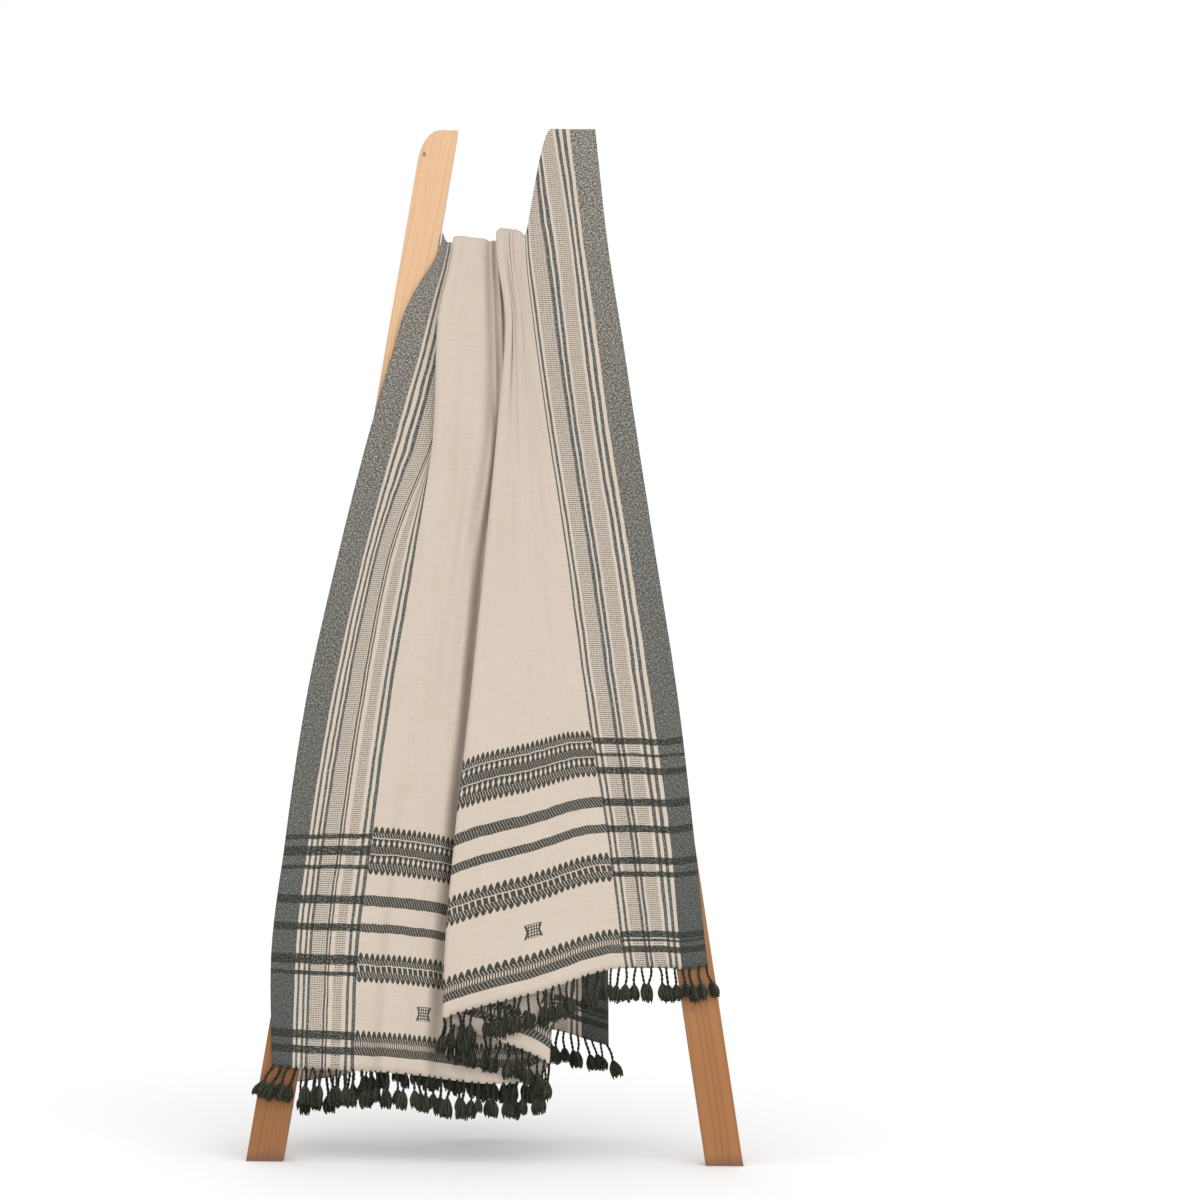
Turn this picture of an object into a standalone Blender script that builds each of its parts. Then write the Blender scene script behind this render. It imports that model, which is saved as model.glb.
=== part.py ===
"""A handwoven throw with tasselled ends, hung over a tapered wooden ladder that leans on a wall.

Metres, +Z up, the viewer on the -Y side and the wall on the +Y side. Places on the ladder's leaning face are
given as x across, the distance up the slope from the floor, and the lift off that face towards the viewer.
"""

import math

import bmesh
import bpy
from mathutils import Matrix, Vector

# Ladder
LEAN = math.radians(10)
RAIL_WIDTH = 0.045
RAIL_DEPTH = 0.022
RAIL_TOP = 1.328  # up the slope
RAIL_X_AT_FLOOR = 0.285
RAIL_TAPER = 0.151  # how far each rail comes in for each metre up the slope
RAIL_ROUNDING = (0.022, 0.040)  # the outer top corner, across and down
WALL_REST_DEPTH = {"left": 0.0020, "right": 0.0070}  # planed off the back of the top, the right to take the cloth
RUNG_HEIGHT = 0.045
RUNG_DEPTH = 0.020
RUNG_TOP = 1.175
RUNG_PITCH = 0.260
RUNG_COUNT = 4
RUNG_FIT = 0.0003
RUNG_ROUNDING = 0.008

# Cloth
THICKNESS = 0.002
TURN_RADIUS = 0.005  # of the two folds where the cloth turns back on itself
TURNS_AT = (442, 568)  # millimetres across the cloth from its left edge
FRONT_ROWS = 19
RIDGE_ROWS = 6
BACK_ROWS = 12
RIDGE_CENTRE_LIFT = -0.010
BACK_PLANE_Y = (0.2237, 0.200, 0.185)  # behind the top rung, halfway down and at the hem

# Fringe
STRIP_HEIGHT = 0.004
STRIP_GAP = 0.0005
TASSEL_PITCH = 0.0100
CORD_WIDTH = 0.0026
CORD_LENGTH = 0.022
HEAD_LENGTH = 0.020
HEAD_WIDTH = 0.0080
HEAD_DEPTH = 0.0052
HEAD_SHOULDER = 0.35  # of the head's length, where it is fullest
SPLAY = {"front": (0.50, 0.35), "back": (0.15, 0.30)}  # how far each end's tassels lean out, as a share of their drop
SPLAY_REACH = 0.05  # along the hem

# Where the lines of the cloth lie, in millimetres. Each row is one warp line: its distance across the cloth, the
# height of its hem and of its support up the slope, then its x at each of these heights up the slope.
HEIGHTS = (120, 240, 400, 580, 760, 940, 1060, 1175, 1328)
FRONT_LINES = (
    # across  hem  support  x at the heights
    (0, 117, 1188, (-278, -282, -267, -244, -208, -166, -131, -77, -77)),
    (35, 115, 1176, (-253, -252, -238, -212, -176, -131, -99, -71, -71)),
    (80, 113, 1175, (-207, -205, -190, -167, -136, -78, -55, -36, -36)),
    (110, 112, 1175, (-176, -174, -158, -137, -110, -87, -85, -66, -66)),
    (220, 106, 1175, (-93, -86, -71, -54, -37, -15, -16, -19, -19)),
    (345, 97, 1175, (-5, 2, 6, 10, 13, 17, 12, 3, 3)),
    (415, 100, 1175, (44, 50, 49, 46, 41, 35, 26, 15, 15)),
    (442, 121, 1175, (66, 72, 68, 60, 52, 42, 32, 20, 20)),
    (568, 174, 1175, (-67, -65, -54, -36, -20, -5, 3, -10, -10)),
    (680, 209, 1175, (62, 48, 40, 35, 31, 25, 20, 10, 10)),
    (794, 242, 1175, (190, 161, 138, 109, 84, 56, 39, 27, 27)),
    (848, 243, 1328, (232, 212, 193, 168, 142, 113, 97, 84, 60)),
    (869, 242, 1328, (250, 232, 217, 192, 165, 136, 120, 103, 84)),
    (904, 246, 1328, (284, 264, 247, 226, 198, 170, 152, 134, 117)),
)
# The folds of the front. Each row is a crest or a valley: its distance across, its lift off the ladder at the
# shares of the way up below, then how far it passes over its support and behind the rung.
LIFT_SHARES = (0.0, 0.28, 0.55, 0.80, 1.0)
FRONT_FOLDS = (
    # across  lift at the shares  over  behind
    (0, (4, 4, 4, 4, 4), 3, 5),
    (35, (4, 4, 4, 4, 4), 1.2, 4),
    (80, (5, 5, 6, 9, 7), 1.8, 6),
    (110, (6, 7, 9, 16, 12), 8, 11),
    (135, (6, 8, 12, 20, 17), 11, 15),
    (158, (20, 17, 11, 17, 16), 10.5, 15),
    (172, (20, 17, 9, 13, 14), 9.5, 14),
    (204, (22, 21, 18, 17, 14), 7, 11),
    (220, (21, 20, 17, 13, 10), 4, 9),
    (250, (11, 8, 6, 9, 11), 5, 10),
    (300, (16, 14, 12, 13, 8), 1.4, 8),
    (345, (22, 19, 16, 14, 11), 5, 10),
    (400, (12, 11, 10, 9, 8), 3, 8),
    (442, (19, 18, 18, 17, 16), 8, 12),
    (505, (29, 27, 26, 25, 23), 12, 16),
    (568, (35, 33, 32, 31, 29), 16, 20),
    (600, (40, 38, 36, 34, 33), 21, 23),
    (680, (38, 36, 33, 32, 31), 20, 22),
    (735, (29, 26, 24, 25, 30), 19, 21),
    (794, (12, 11, 12, 15, 22), 12, 16),
    (848, (5, 5, 5, 6, 5), 4, -1),
    (869, (4, 4, 4, 4, 4), 4, -2),
    (904, (4, 4, 4, 4, 4), 4, -2),
)
# The back hangs free behind the ladder. Each row is one warp line: its distance across, its x halfway down and at
# the hem, and the height of its hem off the floor.
BACK_LINES = (
    # across  x halfway  x at hem  hem height
    (0, -185, -285, 78),
    (35, -165, -255, 77),
    (80, -138, -217, 79),
    (110, -122, -191, 86),
    (150, -104, -160, 106),
    (220, -72, -108, 112),
    (300, -38, -50, 108),
    (345, -16, -12, 98),
    (442, 30, 48, 92),
    (568, -40, -62, 104),
    (680, 6, -4, 122),
    (794, 54, 44, 145),
    (848, 90, 92, 135),
    (869, 104, 112, 128),
    (904, 137, 147, 118),
)
# The folds of the back. Each row is a crest or a valley: its distance across, then its distance towards the wall
# from the back's middle plane, halfway down and at the hem.
BACK_FOLDS = (
    # across  halfway  at hem
    (0, 0, 0),
    (35, -16, -20),
    (80, -12, 4),
    (130, -4, -26),
    (185, 0, 4),
    (240, -16, -28),
    (300, 0, 4),
    (360, -14, -26),
    (415, -2, -2),
    (442, 5, 5),
    (505, 12, 12),
    (568, 18, 18),
    (600, 25, 25),
    (640, 41, 52),
    (690, 25, 26),
    (740, 43, 54),
    (794, 34, 34),
    (848, 46, 46),
    (869, 48, 52),
    (904, 48, 52),
)


def steady_curve(xs, ys, x):
    """A smooth curve through the points that never overshoots them: it is level at each crest and valley."""
    if x <= xs[0]:
        return ys[0]
    if x >= xs[-1]:
        return ys[-1]
    i = max(k for k in range(len(xs) - 1) if xs[k] <= x)

    def rise(k):
        return (ys[k + 1] - ys[k]) / (xs[k + 1] - xs[k])

    def slope(k):
        if k == 0:
            return rise(0)
        if k == len(xs) - 1:
            return rise(k - 1)
        before, after = rise(k - 1), rise(k)
        if before * after <= 0:
            return 0.0
        return 2 * before * after / (before + after)

    width = xs[i + 1] - xs[i]
    u = (x - xs[i]) / width
    return (
        ys[i] * (1 + 2 * u) * (1 - u) ** 2
        + slope(i) * width * u * (1 - u) ** 2
        + ys[i + 1] * u * u * (3 - 2 * u)
        + slope(i + 1) * width * u * u * (u - 1)
    )


def with_turns(rows, is_turn_value):
    """Adds a row on each side of the two turns, so that the cloth goes round each in a half circle."""
    radius = 1000 * TURN_RADIUS
    reach = radius * math.pi / 2
    sides = {TURNS_AT[0]: -1, TURNS_AT[1]: 1}
    full = []
    for across, value in rows:
        if across not in sides:
            full.append((across, value))
            continue
        if is_turn_value == "x":
            beside = value + sides[across] * radius
            full += [(across - reach, beside), (across, value), (across + reach, beside)]
        else:
            full += [(across - reach, value - radius), (across, value), (across + reach, value + radius)]
    return [row[0] for row in full], [row[1] for row in full]


def on_slope(x, up, lift):
    """A point in space from its place on the ladder's leaning face."""
    return Vector(
        (
            x,
            up * math.sin(LEAN) - lift * math.cos(LEAN),
            up * math.cos(LEAN) + lift * math.sin(LEAN),
        )
    )


def front_place(across, share):
    """x, distance up the slope and lift of the cloth's front, from its hem at share 0 to its support at 1."""
    ups, xs = [], []
    for line, hem, support, xs_at in FRONT_LINES:
        up = hem + share * (support - hem)
        ups.append((line, up))
        xs.append((line, steady_curve(HEIGHTS, xs_at, up)))
    lifts = [(line, steady_curve(LIFT_SHARES, lift_at, share)) for line, lift_at, _, _ in FRONT_FOLDS]
    up = steady_curve([row[0] for row in ups], [row[1] for row in ups], across)
    x = steady_curve(*with_turns(xs, "x"), across)
    lift = steady_curve(*with_turns(lifts, "lift"), across)
    return x / 1000, up / 1000, lift / 1000


def past_support(across):
    """How far the cloth passes over its support, and how far behind the rung it then is."""
    over = with_turns([(row[0], row[2]) for row in FRONT_FOLDS], "lift")
    behind = with_turns([(row[0], row[3]) for row in FRONT_FOLDS], "lift")
    return steady_curve(*over, across) / 1000, steady_curve(*behind, across) / 1000


def front_point(across, share):
    return on_slope(*front_place(across, share))


def ridge_point(across, angle):
    """The cloth where it goes over the top, from the front at angle 0 to the back at pi."""
    x, up, lift = front_place(across, 1.0)
    over, behind = past_support(across)
    if angle < math.pi / 2:
        reach = lift - RIDGE_CENTRE_LIFT
    else:
        reach = RUNG_DEPTH + behind + RIDGE_CENTRE_LIFT
    return on_slope(x, up + over * math.sin(angle), RIDGE_CENTRE_LIFT + reach * math.cos(angle))


def back_point(across, share):
    """The cloth's back, from the ridge at share 0 to its hem at 1."""
    top = ridge_point(across, math.pi)
    stations = (0.0, 0.5, 1.0)
    lines = [line[0] for line in BACK_LINES]
    middle_x = steady_curve(*with_turns([(r[0], r[1]) for r in BACK_LINES], "x"), across) / 1000
    hem_x = steady_curve(*with_turns([(r[0], r[2]) for r in BACK_LINES], "x"), across) / 1000
    hem_z = steady_curve(lines, [r[3] for r in BACK_LINES], across) / 1000
    middle_fold = steady_curve(*with_turns([(r[0], r[1]) for r in BACK_FOLDS], "lift"), across) / 1000
    hem_fold = steady_curve(*with_turns([(r[0], r[2]) for r in BACK_FOLDS], "lift"), across) / 1000
    middle_y = BACK_PLANE_Y[1] + middle_fold
    hem_y = BACK_PLANE_Y[2] + hem_fold
    return Vector(
        (
            steady_curve(stations, (top.x, middle_x, hem_x), share),
            steady_curve(stations, (top.y, middle_y, hem_y), share),
            top.z + (hem_z - top.z) * share,
        )
    )


def cloth_point(across, row):
    """A point of the cloth's middle, by its distance across in millimetres and its row from the front hem."""
    if row <= FRONT_ROWS:
        return front_point(across, row / FRONT_ROWS)
    if row <= FRONT_ROWS + RIDGE_ROWS:
        return ridge_point(across, math.pi * (row - FRONT_ROWS) / RIDGE_ROWS)
    return back_point(across, (row - FRONT_ROWS - RIDGE_ROWS) / BACK_ROWS)


def column_places():
    """Distances across the cloth for the columns of its mesh: every fold, and the places between."""
    radius = 1000 * TURN_RADIUS
    quarter = radius * math.pi / 4
    places = set()
    for turn in TURNS_AT:
        places |= {turn + quarter * step for step in (-2, -1, 0, 1, 2)}
    lines = {row[0] for rows in (FRONT_LINES, FRONT_FOLDS, BACK_FOLDS) for row in rows} - set(TURNS_AT)
    for line in sorted(lines):
        if all(abs(line - place) > 7 for place in places):
            places.add(line)
    ordered = sorted(places)
    for before, after in zip(ordered, ordered[1:]):
        if after - before > 24:
            parts = math.ceil((after - before) / 24)
            places |= {before + (after - before) * k / parts for k in range(1, parts)}
    return sorted(places)


def new_object(name, mesh, material):
    mesh.materials.append(material)
    obj = bpy.data.objects.new(name, mesh)
    bpy.context.scene.collection.objects.link(obj)
    return obj


def mesh_from(name, points, faces):
    mesh = bpy.data.meshes.new(name)
    mesh.from_pydata([tuple(p) for p in points], [], faces)
    mesh.validate()
    return mesh


def material(name, colour, roughness):
    made = bpy.data.materials.new(name)
    made.use_nodes = True
    surface = made.node_tree.nodes["Principled BSDF"]
    surface.inputs["Base Color"].default_value = (*colour, 1.0)
    surface.inputs["Roughness"].default_value = roughness
    surface.inputs["Metallic"].default_value = 0.0
    return made


def make_cloth(wool):
    columns = column_places()
    rows = FRONT_ROWS + RIDGE_ROWS + BACK_ROWS + 1
    points = [cloth_point(across, row) for row in range(rows) for across in columns]
    count = len(columns)
    faces = [
        (r * count + c, r * count + c + 1, (r + 1) * count + c + 1, (r + 1) * count + c)
        for r in range(rows - 1)
        for c in range(count - 1)
    ]
    mesh = mesh_from("cloth", points, faces)
    mesh.shade_smooth()
    cloth = new_object("cloth", mesh, wool)
    wall = cloth.modifiers.new("thickness", "SOLIDIFY")
    wall.thickness = THICKNESS
    wall.offset = 0.0
    return cloth


def hem_stations(end):
    """Places along a hem: a point, the way down, the way out, the way along, and whether a tassel starts there.

    They lie on the facets of the cloth's mesh, so that the strip keeps its gap to the hem.
    """
    last_row = FRONT_ROWS + RIDGE_ROWS + BACK_ROWS
    hem, inner = (0, 1) if end == "front" else (last_row, last_row - 1)
    columns = column_places()
    hems = [cloth_point(across, hem) for across in columns]
    inners = [cloth_point(across, inner) for across in columns]
    lengths = [0.0]
    for a, b in zip(hems, hems[1:]):
        lengths.append(lengths[-1] + (b - a).length)
    usable = lengths[-1] - CORD_WIDTH
    count = int(usable / TASSEL_PITCH) + 1
    pitch = usable / (count - 1)
    places = [(k * pitch, True) for k in range(count)] + [(k * pitch + CORD_WIDTH, False) for k in range(count)]
    for bend in lengths[1:-1]:
        if CORD_WIDTH + 0.0003 < bend % pitch < pitch - 0.0003:
            places.append((bend, False))
    places.sort()
    directions = [(b - a).normalized() for a, b in zip(hems, hems[1:])]
    stations, i = [], 0
    for wanted, starts_tassel in places:
        while i < len(lengths) - 2 and lengths[i + 1] < wanted - 1e-9:
            i += 1
        share = min((wanted - lengths[i]) / (lengths[i + 1] - lengths[i]), 1.0)
        point = hems[i].lerp(hems[i + 1], share)
        down = (point - inners[i].lerp(inners[i + 1], share)).normalized()
        along = directions[i]
        if share > 1 - 1e-6 and i + 1 < len(directions):
            along = (directions[i] + directions[i + 1]).normalized()
        stations.append((point, down, down.cross(along).normalized(), along, starts_tassel))
    return stations


def make_fringe(name, end, hang, wool):
    """A narrow strip under the hem with the tassels' roots fused into it, all one body."""
    stations = hem_stations(end)
    points, faces = [], []

    def ring(corners):
        start = len(points)
        points.extend(corners)
        return list(range(start, start + len(corners)))

    strip = []
    for point, down, out, _, _ in stations:
        top = point + down * STRIP_GAP
        foot = top + down * STRIP_HEIGHT
        side = out * (THICKNESS / 2)
        strip.append(ring([top + side, top - side, foot - side, foot + side]))
    faces.append(tuple(strip[0]))
    faces.append(tuple(reversed(strip[-1])))
    tassels = sum(1 for station in stations if station[4])
    number = 0
    for k, (a, b) in enumerate(zip(strip, strip[1:])):
        has_tassel = stations[k][4]
        for side in range(4):
            if side == 2 and has_tassel:
                continue
            after = (side + 1) % 4
            faces.append((a[after], a[side], b[side], b[after]))
        if not has_tassel:
            continue
        out = (stations[k][2] + stations[k + 1][2]).normalized()
        along = (stations[k][3] + stations[k + 1][3]).normalized()
        root = sum((points[i] for i in (a[2], a[3], b[2], b[3])), Vector()) / 4
        level = [a[2], b[2], b[3], a[3]]
        from_left, from_right = number * TASSEL_PITCH, (tassels - 1 - number) * TASSEL_PITCH
        left, right = SPLAY[end]
        lean = right * max(0.0, 1 - from_right / SPLAY_REACH) - left * max(0.0, 1 - from_left / SPLAY_REACH)
        way = hang + along * (lean + 0.03 * math.sin(4.6 * number))
        profile = (
            (CORD_LENGTH, CORD_WIDTH, THICKNESS),
            (CORD_LENGTH + HEAD_SHOULDER * HEAD_LENGTH, 0.85 * HEAD_WIDTH, HEAD_DEPTH),
            (CORD_LENGTH + HEAD_LENGTH, HEAD_WIDTH, HEAD_DEPTH),
        )
        for drop, width, depth in profile:
            centre = root + way * drop
            wide, deep = along * (width / 2), out * (depth / 2)
            below = ring([centre - wide - deep, centre + wide - deep, centre + wide + deep, centre - wide + deep])
            for side in range(4):
                after = (side + 1) % 4
                faces.append((level[side], level[after], below[after], below[side]))
            level = below
        faces.append(tuple(level))
        number += 1
    mesh = mesh_from(name, points, faces)
    tidy = bmesh.new()
    tidy.from_mesh(mesh)
    bmesh.ops.recalc_face_normals(tidy, faces=tidy.faces)
    tidy.to_mesh(mesh)
    tidy.free()
    return new_object(name, mesh, wool)


def rail_centre(up):
    return RAIL_X_AT_FLOOR - RAIL_TAPER * up


def rail_outline():
    """The right rail's face: x and distance up the slope, anticlockwise from the inner foot."""
    half = RAIL_WIDTH / 2 * math.sqrt(1 + RAIL_TAPER**2)
    across, down = RAIL_ROUNDING
    outline = [(rail_centre(0) - half, 0.0), (rail_centre(0) + half, 0.0)]
    steps = 6
    for k in range(steps + 1):
        angle = math.pi / 2 * k / steps
        up = RAIL_TOP - down + down * math.sin(angle)
        outline.append((rail_centre(up) + half - across * (1 - math.cos(angle)), up))
    outline.append((rail_centre(RAIL_TOP) - half, RAIL_TOP))
    return outline


def make_rail(name, side, wood):
    """A planed batten, cut level at the foot and with a small upright flat at the back of its top."""
    sign = -1 if side == "left" else 1
    shape = bmesh.new()
    face = [shape.verts.new(on_slope(sign * x, up, 0.0)) for x, up in rail_outline()]
    front = shape.faces.new(face)
    back = bmesh.ops.extrude_face_region(shape, geom=[front])
    moved = [g for g in back["geom"] if isinstance(g, bmesh.types.BMVert)]
    bmesh.ops.translate(shape, verts=moved, vec=on_slope(0, 0, -RAIL_DEPTH))
    corner_y = on_slope(0, RAIL_TOP, -RAIL_DEPTH).y
    cuts = (
        (Vector((0, corner_y - WALL_REST_DEPTH[side], 0)), Vector((0, 1, 0))),
        (Vector((0, 0, 0)), Vector((0, 0, -1))),
    )
    for place, normal in cuts:
        every = shape.verts[:] + shape.edges[:] + shape.faces[:]
        bmesh.ops.bisect_plane(shape, geom=every, plane_co=place, plane_no=normal, clear_outer=True)
        open_edges = [edge for edge in shape.edges if edge.is_boundary]
        bmesh.ops.holes_fill(shape, edges=open_edges)
    bmesh.ops.recalc_face_normals(shape, faces=shape.faces)
    mesh = bpy.data.meshes.new(name)
    shape.to_mesh(mesh)
    shape.free()
    return new_object(name, mesh, wood)


def make_rung(name, top, wood):
    """A batten with rounded long edges, flush with the rails' faces, its ends cut to the rails' slant."""
    half = RAIL_WIDTH / 2 * math.sqrt(1 + RAIL_TAPER**2) + RUNG_FIT
    corners = []
    for up in (top - RUNG_HEIGHT, top):
        reach = rail_centre(up) - half
        for lift in (0.0, -RUNG_DEPTH):
            corners += [on_slope(-reach, up, lift), on_slope(reach, up, lift)]
    faces = [(0, 1, 5, 4), (1, 3, 7, 5), (3, 2, 6, 7), (2, 0, 4, 6), (4, 5, 7, 6), (0, 2, 3, 1)]
    mesh = mesh_from(name, corners, faces)
    shape = bmesh.new()
    shape.from_mesh(mesh)
    long_edges = [edge for edge in shape.edges if edge.verts[0].co.x * edge.verts[1].co.x < 0]
    bmesh.ops.bevel(
        shape, geom=long_edges, offset=RUNG_ROUNDING, segments=4, profile=0.5, affect="EDGES", clamp_overlap=True
    )
    bmesh.ops.recalc_face_normals(shape, faces=shape.faces)
    shape.to_mesh(mesh)
    shape.free()
    mesh.shade_smooth()
    return new_object(name, mesh, wood)


def bounds(objects):
    graph = bpy.context.evaluated_depsgraph_get()
    corners = []
    for obj in objects:
        found = obj.evaluated_get(graph)
        corners += [found.matrix_world @ Vector(corner) for corner in found.bound_box]
    low = Vector(min(c[axis] for c in corners) for axis in range(3))
    high = Vector(max(c[axis] for c in corners) for axis in range(3))
    return low, high


def stand_on_origin(objects):
    """Moves every piece so that the middle of the whole thing's foot is at the origin."""
    bpy.context.view_layer.update()
    low, high = bounds(objects)
    middle = Vector(((low.x + high.x) / 2, (low.y + high.y) / 2, low.z))
    for obj in objects:
        obj.data.transform(Matrix.Translation(-middle))
        obj.data.update()


def main():
    for obj in list(bpy.data.objects):
        bpy.data.objects.remove(obj, do_unlink=True)
    wool = material("undyed wool", (0.72, 0.63, 0.52), 0.95)
    dark_wool = material("charcoal wool", (0.035, 0.045, 0.038), 0.95)
    pine = material("planed pine", (0.66, 0.38, 0.17), 0.55)
    pieces = [make_cloth(wool)]
    pieces.append(make_fringe("fringe_front", "front", on_slope(0, -1, 0), dark_wool))
    pieces.append(make_fringe("fringe_back", "back", Vector((0, 0, -1)), dark_wool))
    pieces.append(make_rail("rail_left", "left", pine))
    pieces.append(make_rail("rail_right", "right", pine))
    for k in range(RUNG_COUNT):
        pieces.append(make_rung(f"rung_{k + 1}", RUNG_TOP - k * RUNG_PITCH, pine))
    stand_on_origin(pieces)


main()
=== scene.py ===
"""The looks of a handwoven throw with tasselled ends, hung over a leaning wooden ladder."""

import math
import random

import bmesh
import bpy
import numpy as np
from mathutils import Matrix, Vector


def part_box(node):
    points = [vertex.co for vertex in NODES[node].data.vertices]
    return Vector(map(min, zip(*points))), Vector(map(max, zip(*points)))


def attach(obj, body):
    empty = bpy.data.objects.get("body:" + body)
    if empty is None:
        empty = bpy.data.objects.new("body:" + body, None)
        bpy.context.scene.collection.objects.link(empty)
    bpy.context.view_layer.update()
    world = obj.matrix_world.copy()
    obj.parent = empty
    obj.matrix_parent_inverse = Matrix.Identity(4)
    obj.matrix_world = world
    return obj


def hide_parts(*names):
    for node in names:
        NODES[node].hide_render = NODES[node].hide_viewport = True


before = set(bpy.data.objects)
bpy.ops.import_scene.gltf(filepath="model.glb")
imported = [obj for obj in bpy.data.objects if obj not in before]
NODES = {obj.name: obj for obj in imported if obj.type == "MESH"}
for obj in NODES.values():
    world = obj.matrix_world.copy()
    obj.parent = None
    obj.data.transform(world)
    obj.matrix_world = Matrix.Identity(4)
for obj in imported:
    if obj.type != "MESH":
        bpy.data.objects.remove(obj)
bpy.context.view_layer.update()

# The photo's scale and viewpoint
FLOOR_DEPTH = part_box("rail_left")[0].y  # the front of the feet
METRES_A_PIXEL = 0.001237
CAMERA_DISTANCE = 4.45
CAMERA_HEIGHT = 0.6973
CAMERA_ROLL = math.radians(0.59)
PHOTO_PIXELS = 1200
MIDDLE_PIXEL = 500  # of the photo's width, where the ladder's middle is

# Ladder
LEAN = math.radians(10)
RAIL_TAPER = 0.151
RUNG_DEPTH = 0.020
RUNGS = 4

# Cloth, in the solid's own sizes
THICKNESS = 0.0010
TURN_RADIUS = 0.005
TURNS_AT = (442, 568)
WIDTH = 904
RIDGE_CENTRE_LIFT = -0.010
RIDGE_UNEVENNESS = 0.0003
BACK_PLANE_Y = (0.200, 0.185)  # the back's plane behind the feet, halfway down and at its hem
FRONT_ROWS = 100
RIDGE_ROWS = 16
BACK_ROWS = 74
COLUMN_SPACING = 3.8

# Where the lines of the cloth lie, in millimetres. Each row is one warp line: its distance across the cloth,
# the height of its hem and of its support up the slope, then its x at each of these heights up the slope.
HEIGHTS = (120, 240, 400, 580, 760, 940, 1060, 1175, 1328)
FRONT_LINES = (
    # across  hem  support  x at the heights
    (0, 117, 1188, (-278, -282, -267, -244, -208, -166, -131, -77, -77)),
    (35, 115, 1176, (-253, -252, -238, -212, -176, -131, -99, -71, -71)),
    (80, 113, 1175, (-207, -205, -190, -167, -136, -78, -55, -36, -36)),
    (110, 112, 1175, (-176, -174, -158, -137, -110, -87, -85, -66, -66)),
    (220, 106, 1175, (-93, -86, -71, -54, -37, -15, -16, -19, -19)),
    (345, 97, 1175, (-5, 2, 6, 10, 13, 17, 12, 3, 3)),
    (415, 100, 1175, (44, 50, 49, 46, 41, 35, 26, 15, 15)),
    (442, 121, 1175, (66, 72, 68, 60, 52, 42, 32, 20, 20)),
    (568, 174, 1175, (-67, -65, -54, -36, -20, -5, 3, -10, -10)),
    (680, 209, 1175, (62, 48, 40, 35, 31, 25, 20, 10, 10)),
    (794, 242, 1175, (190, 161, 138, 109, 84, 56, 39, 27, 27)),
    (848, 243, 1328, (232, 212, 193, 168, 142, 113, 97, 84, 60)),
    (869, 242, 1328, (250, 232, 217, 192, 165, 136, 120, 103, 84)),
    (904, 246, 1328, (284, 264, 247, 226, 198, 170, 152, 134, 117)),
)
# The folds of the front. Each row is a crest or a valley: its distance across, its lift off the ladder at the
# shares of the way up below, then how far it passes over its support and behind the rung.
LIFT_SHARES = (0.0, 0.28, 0.55, 0.80, 1.0)
FRONT_FOLDS = (
    # across  lift at the shares  over  behind
    (0, (4, 4, 4, 4, 4), 3, 5),
    (35, (4, 4, 4, 4, 4), 1.2, 4),
    (80, (5, 5, 6, 9, 7), 1.8, 6),
    (110, (6, 7, 9, 16, 12), 8, 11),
    (135, (6, 8, 12, 20, 17), 11, 15),
    (158, (20, 17, 11, 17, 16), 10.5, 15),
    (172, (20, 17, 9, 13, 14), 9.5, 14),
    (204, (22, 21, 18, 17, 14), 7, 11),
    (220, (21, 20, 17, 13, 10), 4, 9),
    (250, (11, 8, 6, 9, 11), 5, 10),
    (300, (16, 14, 12, 13, 8), 1.4, 8),
    (345, (22, 19, 16, 14, 11), 5, 10),
    (400, (12, 11, 10, 9, 8), 3, 8),
    (442, (19, 18, 18, 17, 16), 8, 12),
    (505, (29, 27, 26, 25, 23), 12, 16),
    (568, (35, 33, 32, 31, 29), 16, 20),
    (600, (40, 38, 36, 34, 33), 21, 23),
    (680, (38, 36, 33, 32, 31), 20, 22),
    (735, (29, 26, 24, 25, 30), 19, 21),
    (794, (12, 11, 12, 15, 22), 12, 16),
    (848, (5, 5, 5, 6, 5), 4, -1),
    (869, (4, 4, 4, 4, 4), 4, -2),
    (904, (4, 4, 4, 4, 4), 4, -2),
)
BACK_LINES = (
    # across  x halfway  x at hem  hem height
    (0, -185, -285, 78),
    (35, -165, -255, 77),
    (80, -138, -217, 79),
    (110, -122, -191, 86),
    (150, -104, -160, 106),
    (220, -72, -108, 112),
    (300, -38, -50, 108),
    (345, -16, -12, 98),
    (442, 30, 48, 92),
    (568, -40, -62, 104),
    (680, 6, -4, 122),
    (794, 54, 44, 145),
    (848, 90, 92, 135),
    (869, 104, 112, 128),
    (904, 137, 147, 118),
)
BACK_FOLDS = (
    # across  halfway  at hem
    (0, 0, 0),
    (35, -16, -20),
    (80, -12, 4),
    (130, -4, -26),
    (185, 0, 4),
    (240, -16, -28),
    (300, 0, 4),
    (360, -14, -26),
    (415, -2, -2),
    (442, 5, 5),
    (505, 12, 12),
    (568, 18, 18),
    (600, 25, 25),
    (640, 41, 52),
    (690, 25, 26),
    (740, 43, 54),
    (794, 34, 34),
    (848, 46, 46),
    (869, 48, 52),
    (904, 48, 52),
)
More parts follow.
